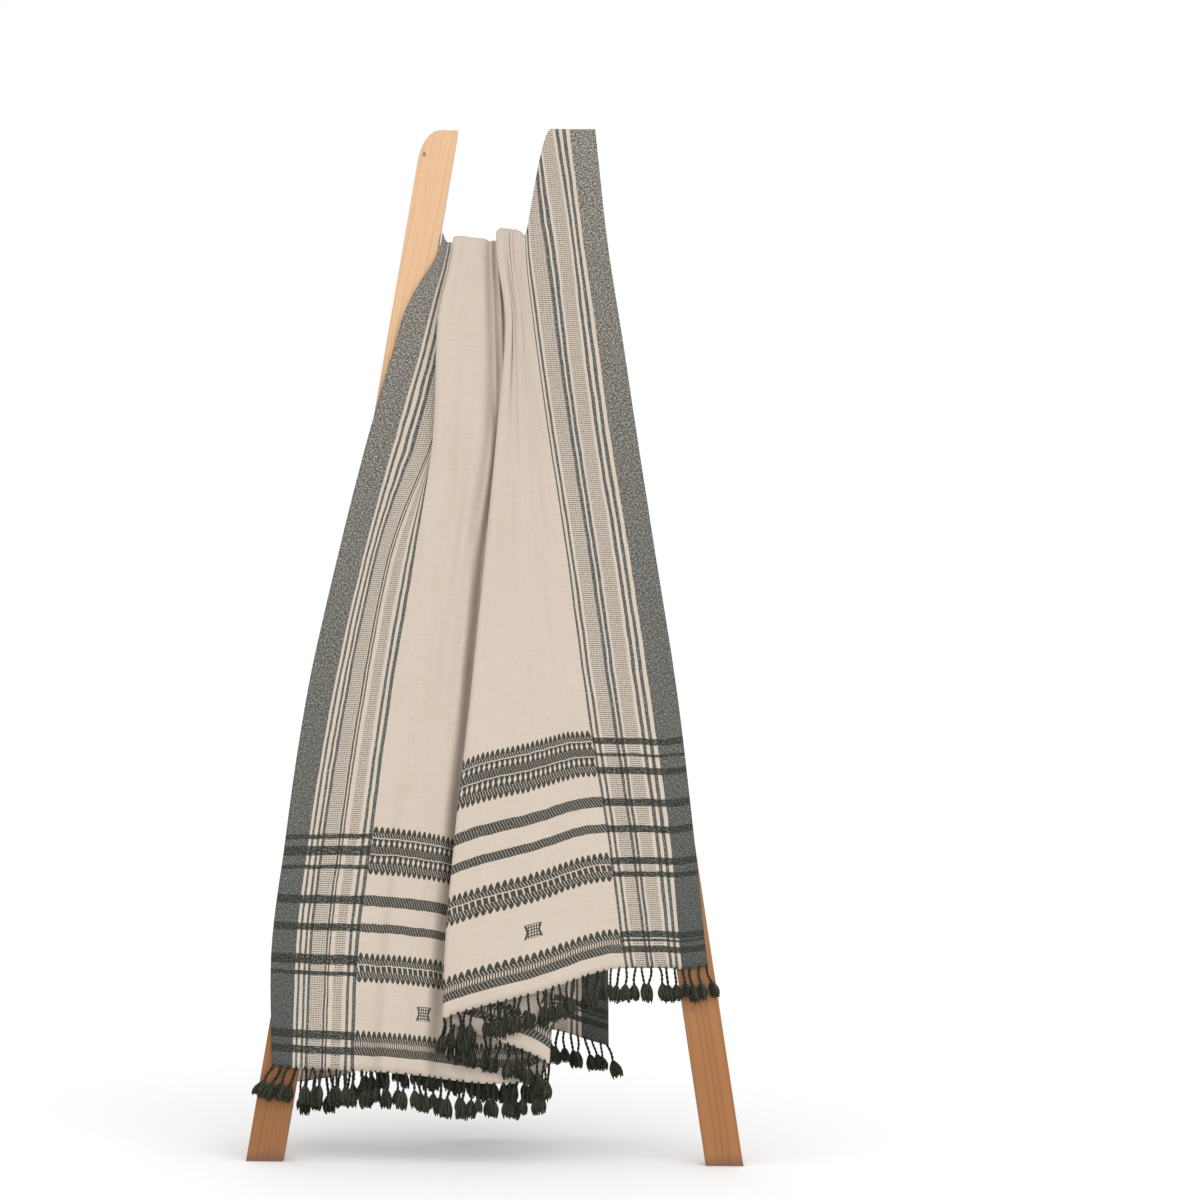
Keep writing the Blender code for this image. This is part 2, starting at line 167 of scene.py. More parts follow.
# Where the cloth is drawn together it rises in pleats, which take up its width. Each row gives how full they
# are there, on the front and on the back: none at 0, the spare width at 1, and deeper than it needs above 1.
PLEAT_PITCH = {"front": 36, "back": 31}
FULLNESS = (
    # across  front  back
    (0, 0.0, 0.3),
    (35, 0.0, 0.0),
    (105, 0.0, 0.0),
    (150, 0.0, 0.4),
    (215, 0.3, 1.25),
    (380, 0.3, 1.2),
    (442, 0.1, 0.5),
    (505, 0.6, 0.5),
    (568, 0.0, 0.5),
    (600, 0.05, 1.0),
    (760, 0.06, 1.25),
    (794, 0.0, 0.8),
    (830, 0.0, 0.0),
    (904, 0.0, 0.0),
)
PLEAT_WINDOW = 8  # columns to each side, over which the spare width is evened out
PLEATS_END = 0.6  # of the ridge, where the front's pleats are pressed flat
PLEATS_FORM = 13  # rows of the back, over which its pleats form
WALL_Y = 0.1348  # the wall's face, which the cloth stays in front of
# How far the left selvedge is drawn to the left, at what height, over what height, and how far across
SELVEDGE_DRAWN_IN = (0.012, 1124, 54, 60)
# How much further from the front hem the bands lie than the cloth's flat pattern has them, 300 mm up, where
# the weft has slipped along the folds.
SLIPPED_WEFT = (
    # across  shift
    (0, 0),
    (110, 7),
    (250, 0),
    (400, -5),
    (442, -5),
    (568, 25),
    (680, 14),
    (794, 3),
    (904, 0),
)
# How far the border is drawn under its fold, where across, over what width, and from and to which share up
SLIPPED_WARP = (10, 112, 34, 0.70, 0.86)
SLIPPED_ROWS = 9  # of the ridge, over which that ends
# Creases finer than the solid's folds, on the front. Each row is one soft trough, or a ridge if its depth is
# below nothing: where it starts and ends across and up the front, how deep and how wide, in millimetres.
CREASES = (
    # across  share  to across  share  depth  width
    (152, 1.00, 150, 0.84, 2.4, 8),
    (186, 1.00, 190, 0.90, 3.2, 6),
    (204, 1.00, 212, 0.78, -1.6, 8),
    (222, 1.00, 232, 0.76, 3.4, 8),
    (236, 0.99, 246, 0.86, 2.8, 5),
    (262, 1.00, 268, 0.90, 2.4, 6),
    (290, 1.00, 286, 0.86, 2.2, 7),
    (168, 0.82, 160, 0.58, 1.2, 10),
    (128, 0.60, 122, 0.40, 1.4, 14),
    (600, 0.98, 606, 0.78, 2.0, 7),
    (622, 1.00, 632, 0.80, 2.2, 8),
    (652, 1.00, 664, 0.86, 1.8, 7),
    (690, 1.00, 706, 0.88, 1.5, 8),
    (232, 0.30, 206, 0.05, 1.6, 12),
)
# How uneven the whole front is, more along the warp than across it. Each row is one wave, in millimetres.
UNEVENNESS = (
    # across  up  depth
    (41, 230, 0.5),
    (67, 140, 0.4),
    (23, 330, 0.25),
    (110, 95, 0.35),
)


def steady(xs, ys, x):
    """A smooth curve through the points that is level at each crest and valley, read at many places at once."""
    xs, ys = np.asarray(xs, float), np.asarray(ys, float)
    x = np.clip(x, xs[0], xs[-1])
    width = np.diff(xs)
    rise = np.diff(ys) / width
    both = rise[:-1] * rise[1:]
    total = np.where(both > 0, rise[:-1] + rise[1:], 1.0)
    slope = np.concatenate([[rise[0]], np.where(both > 0, 2 * both / total, 0.0), [rise[-1]]])
    i = np.clip(np.searchsorted(xs, x, side="right") - 1, 0, len(xs) - 2)
    u, w = (x - xs[i]) / width[i], width[i]
    return (
        ys[i] * (1 + 2 * u) * (1 - u) ** 2
        + slope[i] * w * u * (1 - u) ** 2
        + ys[i + 1] * u * u * (3 - 2 * u)
        + slope[i + 1] * w * u * u * (u - 1)
    )


def with_turns(lines, values, kind):
    """Adds a place on each side of the two turns, so that the cloth goes round each in a half circle."""
    radius = 1000 * TURN_RADIUS
    reach = radius * math.pi / 2
    sides = dict(zip(TURNS_AT, (-1, 1)))
    full_lines, full_values = [], []
    for across, value in zip(lines, values):
        if across not in sides:
            full_lines.append(across)
            full_values.append(value)
            continue
        full_lines += [across - reach, across, across + reach]
        if kind == "x":
            beside = value + sides[across] * radius
            full_values += [beside, value, beside]
        else:
            full_values += [value - radius, value, value + radius]
    return full_lines, full_values


def across_rows(lines, table, columns, kind=None):
    """Reads each row of a table of values at the lines at every column."""
    rows = []
    for values in table:
        if kind:
            rows.append(steady(*with_turns(lines, values, kind), columns))
        else:
            rows.append(steady(lines, values, columns))
    return np.array(rows)


def column_places():
    radius = 1000 * TURN_RADIUS
    places = [WIDTH * k / round(WIDTH / COLUMN_SPACING) for k in range(round(WIDTH / COLUMN_SPACING) + 1)]
    reach = radius * math.pi / 2
    kept = [place for place in places if all(abs(place - turn) > reach + 1 for turn in TURNS_AT)]
    for turn in TURNS_AT:
        kept += [turn + reach * step / 5 for step in range(-5, 6)]
    return np.array(sorted(kept))


def on_slope(x, up, lift):
    depth = FLOOR_DEPTH + up * math.sin(LEAN) - lift * math.cos(LEAN)
    return np.stack([x, depth, up * math.cos(LEAN) + lift * math.sin(LEAN)], axis=-1)


def cloth_points(columns):
    """The places of the cloth's middle in metres, row by row from the front hem over the top to the back hem."""
    lines = [row[0] for row in FRONT_LINES]
    fold_lines = [row[0] for row in FRONT_FOLDS]
    shares = np.linspace(0, 1, FRONT_ROWS + 1)
    up_table = np.array([row[1] + shares * (row[2] - row[1]) for row in FRONT_LINES]).T
    x_table = np.array([steady(HEIGHTS, row[3], up_table[:, k]) for k, row in enumerate(FRONT_LINES)]).T
    lift_table = np.array([steady(LIFT_SHARES, row[1], shares) for row in FRONT_FOLDS]).T
    up = across_rows(lines, up_table, columns) / 1000
    x = across_rows(lines, x_table, columns, "x") / 1000
    shift, height, reach, width = SELVEDGE_DRAWN_IN
    x = x - shift * np.exp(-(((1000 * up - height) / reach) ** 2)) * np.clip(1 - columns / width, 0, 1)
    lift = across_rows(fold_lines, lift_table, columns, "lift") / 1000
    lift -= creases(columns, shares) / 1000
    front = on_slope(x, up, lift)
    passing = [[row[k] for row in FRONT_FOLDS] for k in (2, 3)]
    over, behind = across_rows(fold_lines, passing, columns, "lift") / 1000
    over = over + RIDGE_UNEVENNESS * np.sin(2 * math.pi * columns / 47)
    ridge = []
    for k in range(1, RIDGE_ROWS):
        angle = math.pi * k / RIDGE_ROWS
        reach = lift[-1] - RIDGE_CENTRE_LIFT if angle < math.pi / 2 else RUNG_DEPTH + behind + RIDGE_CENTRE_LIFT
        height = up[-1] + over * math.sin(angle)
        ridge.append(on_slope(x[-1], height, RIDGE_CENTRE_LIFT + reach * math.cos(angle)))
    top = on_slope(x[-1], up[-1], -RUNG_DEPTH - behind)
    back_lines = [row[0] for row in BACK_LINES]
    back_folds = [row[0] for row in BACK_FOLDS]
    back_x_table = [[row[k] for row in BACK_LINES] for k in (1, 2)]
    back_x = across_rows(back_lines, back_x_table, columns, "x") / 1000
    back_lift_table = [[row[k] for row in BACK_FOLDS] for k in (1, 2)]
    back_lift = across_rows(back_folds, back_lift_table, columns, "lift") / 1000
    back_y = FLOOR_DEPTH + np.array(BACK_PLANE_Y)[:, None] + back_lift
    hem_z = steady(back_lines, [row[3] for row in BACK_LINES], columns) / 1000
    shares = np.linspace(0, 1, BACK_ROWS + 1)
    stations = (0.0, 0.5, 1.0)
    back = np.empty((len(shares), len(columns), 3))
    for c in range(len(columns)):
        back[:, c, 0] = steady(stations, (top[c, 0], *back_x[:, c]), shares)
        back[:, c, 1] = steady(stations, (top[c, 1], *back_y[:, c]), shares)
        back[:, c, 2] = top[c, 2] + (hem_z[c] - top[c, 2]) * shares
    return pleated(np.concatenate([front, np.array(ridge), back]), columns)


def pleated(points, columns):
    """Raises the cloth in pleats that are as deep as it is drawn together there, so that it keeps its width."""
    last_front, first_back = FRONT_ROWS, FRONT_ROWS + RIDGE_ROWS
    share_of_width = np.linalg.norm(np.gradient(points, axis=1), axis=-1) / np.gradient(columns / 1000)
    window = np.ones(2 * PLEAT_WINDOW + 1) / (2 * PLEAT_WINDOW + 1)
    padded = np.pad(share_of_width, ((0, 0), (PLEAT_WINDOW, PLEAT_WINDOW)), mode="edge")
    share_of_width = np.array([np.convolve(row, window, mode="valid") for row in padded])
    spare = np.sqrt(2 * np.clip(1 - share_of_width**2, 0, 1))
    lines = [row[0] for row in FULLNESS]
    wander = 0.12 * np.sin(columns / 61) + 0.10 * np.sin(columns / 23)
    rows = np.arange(len(points))
    # The pleats flatten where the cloth is pressed on the rung, and form again below it on the back.
    flattened = np.clip(1 - (rows - last_front) / (PLEATS_END * RIDGE_ROWS), 0, 1)
    on_front = np.where(rows <= last_front, 1.0, flattened)
    on_back = np.clip((rows - first_back) / PLEATS_FORM, 0, 1)
    sizes = []
    for side, k, where in (("front", 1, on_front), ("back", 2, on_back)):
        full = steady(lines, [row[k] for row in FULLNESS], columns)
        pitch = PLEAT_PITCH[side]
        drift = 0.10 * np.sin(rows / 17)[:, None]
        wave = np.sin(2 * math.pi * (columns / pitch + wander + drift))
        sizes.append(where[:, None] * full * spare * pitch / (2000 * math.pi) * wave)
    # Each half rises straight off its own plane: the front off the slope, and the back off an upright.
    points = points + sizes[0][:, :, None] * np.array([0, -math.cos(LEAN), math.sin(LEAN)])
    points[..., 1] += sizes[1]
    points[..., 1] = np.minimum(points[..., 1], WALL_Y - THICKNESS / 2 - 0.0005)
    return points


def unit_normals(points):
    normal = np.cross(np.gradient(points, axis=1), np.gradient(points, axis=0))
    normal[1:-1] = (normal[:-2] + 2 * normal[1:-1] + normal[2:]) / 4
    return normal / np.maximum(np.linalg.norm(normal, axis=-1, keepdims=True), 1e-12)


def creases(columns, shares):
    """How far each place of the front sinks, in millimetres."""
    sunk = np.zeros((len(shares), len(columns)))
    across, share = np.meshgrid(columns, shares)
    for across_a, share_a, across_b, share_b, depth, width in CREASES:
        along = np.clip((share - share_a) / (share_b - share_a), 0, 1)
        middle = across_a + (across_b - across_a) * along
        outside = np.maximum(0, np.maximum(share - max(share_a, share_b), min(share_a, share_b) - share)) * 1000
        fade = np.sin(math.pi * np.clip(0.12 + 0.88 * along, 0, 1)) ** 0.5
        sunk += depth * fade * np.exp(-(((across - middle) / width) ** 2) - (outside / 25) ** 2)
    for k, (wave_across, wave_up, size) in enumerate(UNEVENNESS):
        sunk += size * np.sin(2 * math.pi * (across / wave_across + 1000 * share / wave_up) + 1.7 * k)
    return sunk


def sheet_mesh(name, points, columns, thickness):
    """A closed sheet round the points, with a map of how far across and how far from the nearer hem it is."""
    rows, count = points.shape[:2]
    normal = unit_normals(points)
    steps = np.linalg.norm(np.diff(points, axis=0), axis=-1)
    from_front = np.concatenate([np.zeros((1, count)), np.cumsum(steps, axis=0)])
    slipped = steady([row[0] for row in SLIPPED_WEFT], [row[1] for row in SLIPPED_WEFT], columns) / 1000
    pattern_front = from_front - slipped * (np.minimum(from_front, 0.3) / 0.3) ** 2
    from_hem = np.minimum(pattern_front, from_front[-1] - from_front)
    shift, middle, reach, low, high = SLIPPED_WARP
    share = np.minimum(np.arange(rows) / FRONT_ROWS, 1.0)
    over_ridge = np.clip((FRONT_ROWS + RIDGE_ROWS - np.arange(rows)) / SLIPPED_ROWS, 0, 1)
    drawn = np.clip((share - low) / (high - low), 0, 1) * over_ridge
    across = (columns + shift * drawn[:, None] * np.exp(-(((columns - middle) / reach) ** 2))) / 1000
    half = thickness / 2
    verts = np.concatenate([(points + normal * half).reshape(-1, 3), (points - normal * half).reshape(-1, 3)])
    maps = np.stack([across, from_hem], axis=-1).reshape(-1, 2)
    maps = np.concatenate([maps, maps])
    under = rows * count
    r, c = np.meshgrid(np.arange(rows - 1), np.arange(count - 1), indexing="ij")
    a = (r * count + c).ravel()
    upper = np.stack([a, a + 1, a + count + 1, a + count], axis=-1)
    faces = [upper, upper[:, ::-1] + under]
    first, last = np.arange(count - 1), (rows - 1) * count + np.arange(count - 1)
    faces.append(np.stack([first + 1, first, first + under, first + under + 1], axis=-1))
    faces.append(np.stack([last, last + 1, last + under + 1, last + under], axis=-1))
    left, right = np.arange(rows - 1) * count, np.arange(rows - 1) * count + count - 1
    faces.append(np.stack([left, left + count, left + count + under, left + under], axis=-1))
    faces.append(np.stack([right + count, right, right + under, right + count + under], axis=-1))
    faces = np.concatenate(faces)
    mesh = bpy.data.meshes.new(name)
    mesh.from_pydata(verts.tolist(), [], faces.tolist())
    mesh.shade_smooth()
    layer = mesh.uv_layers.new(name="weave")
    loops = np.empty(len(mesh.loops), dtype=np.int32)
    mesh.loops.foreach_get("vertex_index", loops)
    layer.data.foreach_set("uv", maps[loops].astype(np.float32).ravel())
    return mesh


def add(name, mesh, material):
    mesh.materials.clear()
    mesh.materials.append(material)
    piece = bpy.data.objects.new(name, mesh)
    bpy.context.scene.collection.objects.link(piece)
    return piece


class Value:
    """A socket of a shader, so that a pattern can be written as a sum."""

    tree = None

    def __init__(self, socket):
        self.socket = socket

    @classmethod
    def node(cls, kind, inputs=(), output=0, stops=(), **settings):
        """Any node: its settings and a ramp's stops first, then what its sockets hold or are fed by."""
        made = cls.tree.nodes.new(kind)
        for key, value in settings.items():
            setattr(made, key, value)
        if stops:
            ramp = made.color_ramp
            ramp.interpolation = "CONSTANT"
            ramp.elements[0].position, ramp.elements[1].position = stops[0][0], stops[1][0]
            for place, _ in stops[2:]:
                ramp.elements.new(place)
            for element, (_, level) in zip(ramp.elements, stops):
                element.color = (level, level, level, 1)
        for key, value in dict(inputs).items():
            socket = made.inputs[key]
            if isinstance(value, Value):
                cls.tree.links.new(value.socket, socket)
            elif value is not None:
                socket.default_value = value
        return cls(made.outputs[output])

    @classmethod
    def math(cls, operation, *values, clamp=False):
        return cls.node("ShaderNodeMath", dict(enumerate(values)), operation=operation, use_clamp=clamp)

    def __add__(self, other):
        return Value.math("ADD", self, other)

    def __sub__(self, other):
        return Value.math("SUBTRACT", self, other)

    def __mul__(self, other):
        return Value.math("MULTIPLY", self, other)

    def __rsub__(self, other):
        return Value.math("SUBTRACT", other, self)

    __radd__ = __add__
    __rmul__ = __mul__


def fraction(value):
    return Value.math("FRACT", value)


def size_of(value):
    return Value.math("ABSOLUTE", value)


def most(a, b):
    return Value.math("MAXIMUM", a, b)


def step_up(value, edge, soft):
    """0 below the edge and 1 above it, over a soft width."""
    return Value.math("ADD", (value - edge) * (1 / soft), 0.5, clamp=True)


def between(value, low, high, soft=0.5):
    return step_up(value, low, soft) * (1 - step_up(value, high, soft))


def mix_colour(share, a, b):
    return Value.node(
        "ShaderNodeMix", {0: share, 6: a, 7: b}, output=2, data_type="RGBA", blend_type="MIX", clamp_factor=True
    )


def noise(vector, scale, detail=2.0, roughness=0.5):
    return Value.node(
        "ShaderNodeTexNoise",
        {"Vector": vector, "Scale": scale, "Detail": detail, "Roughness": roughness},
        noise_dimensions="3D",
    )


def stretched(place, across, up, detail=1.5, roughness=0.5):
    """Noise on the cloth's own map, with its own fineness across and up."""
    scaled = Value.node("ShaderNodeMapping", {"Vector": place, "Scale": (across, up, 1)}, vector_type="POINT")
    return noise(scaled, 1.0, detail, roughness)


def new_material(name):
    material = bpy.data.materials.new(name)
    material.use_nodes = True
    Value.tree = material.node_tree
    return material, material.node_tree.nodes["Principled BSDF"]


def finish_surface(shader, colour, roughness, height, distance, strength=1.0):
    bump = Value.node("ShaderNodeBump", {"Strength": strength, "Distance": distance, "Height": height})
    for name, value in (("Base Color", colour), ("Roughness", roughness), ("Normal", bump)):
        if isinstance(value, Value):
            Value.tree.links.new(value.socket, shader.inputs[name])
        else:
            shader.inputs[name].default_value = value


# The pattern, in pixels of the photo. One pixel is 1.25 mm on the cloth.
PIXEL = 1.25
TOOTH_PITCH = 6.75 * PIXEL
STROKE_PITCH = TOOTH_PITCH / 2
# The stripes of each border from its selvedge inward: W is undyed, D is charcoal, L is a ladder of fine bars.
STRIPES = {
    "left": "S29.5 W3 D2.7 W3 D2.7 W2.3 D2.7 L12.2 W1 D2 W1 D2 W4.2 L9.6 W3.8 D3 W3.4 D4.2",
    "right": "S29.5 W4 D3.4 W3 D3.2 W3 L12.5 W2.4 D3 W1.6 D2.8 L12.5 W2.2 D3 W3.6 D3",
}
BORDER_WIDTH = 110
STRIPE_LEVELS = {"W": 0.0, "L": 0.33, "D": 0.66, "S": 1.0}
RAMP_REACH = 128  # how far from the selvedge the stripes' ramp goes
LADDER_BARS = 2.7  # from one bar of a ladder stripe to the next, and below the same across it
LADDER_THREADS = 3.0
THREAD_PITCH = 0.95
HALF_LENGTH = 1100  # about, from a hem up to the ridge
# The dark weft lines across the borders: their height above the hem and how thick each is, left and right.
WEFT_LINES = (
    # height  left  right
    (19, 6.5, 5.5),
    (28, 0, 2),
    (34, 7, 5.5),
    (94.5, 3.5, 4.5),
    (108, 8, 6),
    (140, 6, 6),
    (167, 7, 6.5),
    (199, 3.5, 6),
    (215, 8, 2.5),
    (229, 4, 5.5),
)
# The bands between the borders, row by row upwards: from and to above the hem.
BAND_ROWS = (
    # kind  from  to
    ("strokes", 15.5, 23.5),
    ("bars", 23.5, 29.5),
    ("teeth up", 29.5, 40),
    ("teeth down", 87, 97.5),
    ("wedges", 97.5, 103.5),
    ("teeth up", 104.5, 116),
    ("strokes", 136, 144.5),
    ("strokes", 161.5, 172),
    ("teeth down", 192, 202.5),
    ("diamonds", 202.5, 211.5),
    ("strokes", 212.5, 219),
    ("diamonds", 219, 227),
    ("teeth up", 228, 239),
)
MOTIFS_AT = (219, 450, 680)
MOTIF_HEIGHT = 60.5
MOTIF_DOTS = 3.5  # the pitch of its dots, in millimetres


def stripe_ramp(sequence, from_selvedge):
    """The kind of stripe at a distance from the selvedge, by a ramp of steps."""
    items = [(item[0], float(item[1:])) for item in sequence.split()]
    scale = BORDER_WIDTH / sum(width for _, width in items)
    start, stops = 0.0, []
    for kind, width in items:
        stops.append((start, STRIPE_LEVELS[kind]))
        start += width * scale / RAMP_REACH
    stops.append((start, 0.0))
    return Value.node("ShaderNodeValToRGB", {0: from_selvedge * (1 / RAMP_REACH)}, stops=stops)


def near(value, level):
    return 1 - step_up(size_of(value - level), 0.1, 0.01)


def band_row(kind, low, high, across, up):
    """How dark one row of a band is. Its strokes slant, with two of them to each tooth."""
    inside = between(up, low, high, 0.6)
    # 0 in the middle of a tooth and 1 between two
    tooth = size_of(fraction(across * (1 / TOOTH_PITCH)) * 2 - 1)
    stroke = size_of(fraction((across + up * 0.6) * (1 / STROKE_PITCH)) * 2 - 1)
    strokes = 1 - step_up(stroke, 0.80, 0.18)
    if kind == "strokes":
        edge = most(1 - step_up(up, low + 1.0, 0.8), step_up(up, high - 1.0, 0.8))
        return inside * most(1 - step_up(stroke, 0.88, 0.18), edge * 0.7)
    if kind == "bars":
        bars = 1 - step_up(size_of(fraction(across * (2.6 / TOOTH_PITCH)) * 2 - 1), 0.5, 0.2)
        edge = most(1 - step_up(up, low + 0.9, 0.5), step_up(up, high - 0.9, 0.5))
        return inside * most(bars, edge * 0.9)
    if kind == "teeth up":
        tip = up + tooth * tooth * (7.0 * PIXEL)
        solid = step_up(up, high - 6.5 * PIXEL, 1.0)
        return inside * (1 - step_up(tip, high, 0.8)) * most(strokes, solid)
    if kind == "teeth down":
        tip = up - tooth * tooth * (5.5 * PIXEL)
        solid = 1 - step_up(up, low + 5 * PIXEL, 1.0)
        return inside * step_up(tip, low, 0.8) * most(strokes, solid)
    if kind == "wedges":
        gap = size_of(fraction((across + up * 0.25) * (1 / TOOTH_PITCH)) * 2 - 1)
        return inside * (1 - step_up(gap, 0.74, 0.14))
    middle, half = (low + high) / 2, (high - low) / 2
    diamond = (1 - tooth) + size_of(up - middle) * (0.6 / half)
    return inside * step_up(diamond, 0.58, 0.12)


def motif(across, up):
    """A small hourglass of dots between two bent bars."""
    total = None
    turn = math.pi / MOTIF_DOTS
    slants = Value.math("SINE", (across + up) * turn) * Value.math("SINE", (across - up) * turn)
    dots = step_up(slants, -0.10, 0.25)
    y = size_of(up - MOTIF_HEIGHT * PIXEL) * (1 / PIXEL)
    for place in MOTIFS_AT:
        x = size_of(across - place) * (1 / PIXEL)
        edge = y * 0.38 + 4.6
        bar = between(x - edge, 0, 2.3, 0.5)
        inner = (1 - step_up(x - edge, 0, 0.5)) * dots
        here = most(bar, inner) * (1 - step_up(y, 6.9, 0.6))
        total = here if total is None else most(total, here)
    return total


def cloth_material():
    """Undyed plain weave with charcoal warp stripes and weft bands, by its own map."""
    material, shader = new_material("handwoven wool")
    place = Value.node("ShaderNodeUVMap", uv_map="weave")
    across_flat = Value.node("ShaderNodeSeparateXYZ", {0: place}, output=0) * 1000
    up_flat = Value.node("ShaderNodeSeparateXYZ", {0: place}, output=1) * 1000
    sway = (stretched(place, 60, 25, 2.0) - 0.5) * 2.2
    across = across_flat + sway
    up = up_flat + sway * 1.2
    speck = stretched(place, 900, 640, 1.5, 0.65)
    threads_up = stretched(place, 900, 30, 2.0)
    threads_across = stretched(place, 30, 900, 2.0)
    blotch = stretched(place, 9, 9, 3.0)

    from_right = WIDTH - across
    kind = most(stripe_ramp(STRIPES["left"], across), stripe_ramp(STRIPES["right"], from_right))
    kind = kind * between(across, 0, WIDTH, 0.1)
    kind = most(kind, 1 - step_up(across, 1, 0.1))
    kind = most(kind, step_up(across, WIDTH - 1, 0.1))
    ladder, stripe, side_band = (near(kind, STRIPE_LEVELS[letter]) for letter in "LDS")
    rungs = 1 - step_up(size_of(fraction(up_flat * (1 / LADDER_BARS)) * 2 - 1), 0.50, 0.3)
    rails = 0.45 + step_up(size_of(fraction(across_flat * (1 / LADDER_THREADS)) * 2 - 1), 0.35, 0.4) * 0.55
    flecks = step_up((stretched(place, 760, 350) + stretched(place, 350, 760)) * 0.5, 0.53, 0.08)
    height_up = up_flat * (1 / HALF_LENGTH)
    side_shade = 1.0 - height_up * 0.10 - flecks * (0.14 + height_up * 0.56)
    warp_dark = side_band * side_shade + stripe * (0.97 - flecks * 0.28)
    warp_dark = warp_dark + ladder * rungs * rails * (0.96 - flecks * 0.4)

    in_left = 1 - step_up(across, BORDER_WIDTH, 0.6)
    in_right = step_up(across, WIDTH - BORDER_WIDTH, 0.6)
    lines = None
    for height, left, right in WEFT_LINES:
        thick = in_left * (left * PIXEL * 0.6) + in_right * (right * PIXEL * 0.6)
        here = step_up(thick - size_of(up - height * PIXEL), 0, 1.2)
        lines = here if lines is None else most(lines, here)
    lines = lines * most(in_left, in_right) * (0.98 - side_band * 0.08 - flecks * (0.30 + side_band * 0.10))

    field = (1 - in_left) * (1 - in_right)
    bands = None
    for row_kind, low, high in BAND_ROWS:
        here = band_row(row_kind, low * PIXEL, high * PIXEL, across, up)
        bands = here if bands is None else most(bands, here)
    woven_in = most(bands, motif(across, up)) * field
    weft_dark = most(lines, woven_in * (0.97 - flecks * 0.12))
    dark = most(warp_dark, weft_dark)
    warp_yarn = mix_colour(speck, (0.034, 0.045, 0.044, 1), (0.070, 0.082, 0.077, 1))

    undyed = mix_colour(blotch, (0.595, 0.515, 0.440, 1), (0.535, 0.445, 0.358, 1))
    undyed = mix_colour((threads_up - 0.5) * 0.9 + 0.3, undyed, (0.64, 0.575, 0.51, 1))
    undyed = mix_colour((threads_across - 0.5) * 0.8 + 0.2, undyed, (0.48, 0.39, 0.30, 1))
    slub = step_up(speck * threads_across, 0.37, 0.05) * 0.35
    undyed = mix_colour(slub, undyed, (0.36, 0.26, 0.16, 1))
    yarn = mix_colour(speck, (0.007, 0.010, 0.008, 1), (0.030, 0.036, 0.028, 1))
    colour = mix_colour(weft_dark, mix_colour(warp_dark, undyed, warp_yarn), yarn)

    thread = math.pi / THREAD_PITCH
    weave = Value.math("SINE", across_flat * thread) * Value.math("SINE", up_flat * thread)
    height = weave * 0.35 + threads_up * 0.5 + threads_across * 0.5 + weft_dark * 0.9 + speck * 0.4
    finish_surface(shader, colour, 0.92 - dark * 0.06, height, 0.0004, 0.55)
    shader.inputs["Sheen Weight"].default_value = 0.06
    shader.inputs["Sheen Roughness"].default_value = 0.5
    shader.inputs["Specular IOR Level"].default_value = 0.2
    return material


def yarn_material():
    """Dark green-black twisted yarn, each strand its own shade, with a few undyed ends."""
    material, shader = new_material("charcoal yarn")
    shade = Value.node("ShaderNodeAttribute", output=2, attribute_name="shade")
    place = Value.node("ShaderNodeTexCoord", output=3)
    flecks = noise(place, 900.0, 1.0)
    plies = Value.node(
        "ShaderNodeTexWave",
        {"Vector": place, "Scale": 260.0, "Distortion": 3.0},
        output=1,
        wave_type="BANDS",
        bands_direction="DIAGONAL",
    )
    dark = mix_colour(shade * shade * 1.5, (0.002, 0.003, 0.002, 1), (0.058, 0.060, 0.034, 1))
    dark = mix_colour(step_up(flecks, 0.60, 0.08) * 0.45, dark, (0.15, 0.15, 0.10, 1))
    colour = mix_colour(step_up(shade, 0.93, 0.01), dark, (0.55, 0.50, 0.42, 1))
    finish_surface(shader, colour, 0.82, flecks * 0.5 + plies * 0.6, 0.0005, 0.7)
    shader.inputs["Sheen Weight"].default_value = 0.04
    shader.inputs["Specular IOR Level"].default_value = 0.25
    return material


# Pine, in metres. Each knot has its x, its height and its radius.
RING_PITCH = 0.0071
BROAD_RING_PITCH = 0.021
KNOTS = ((-0.1050, 1.2755, 0.0020), (0.2440, 0.190, 0.0016))


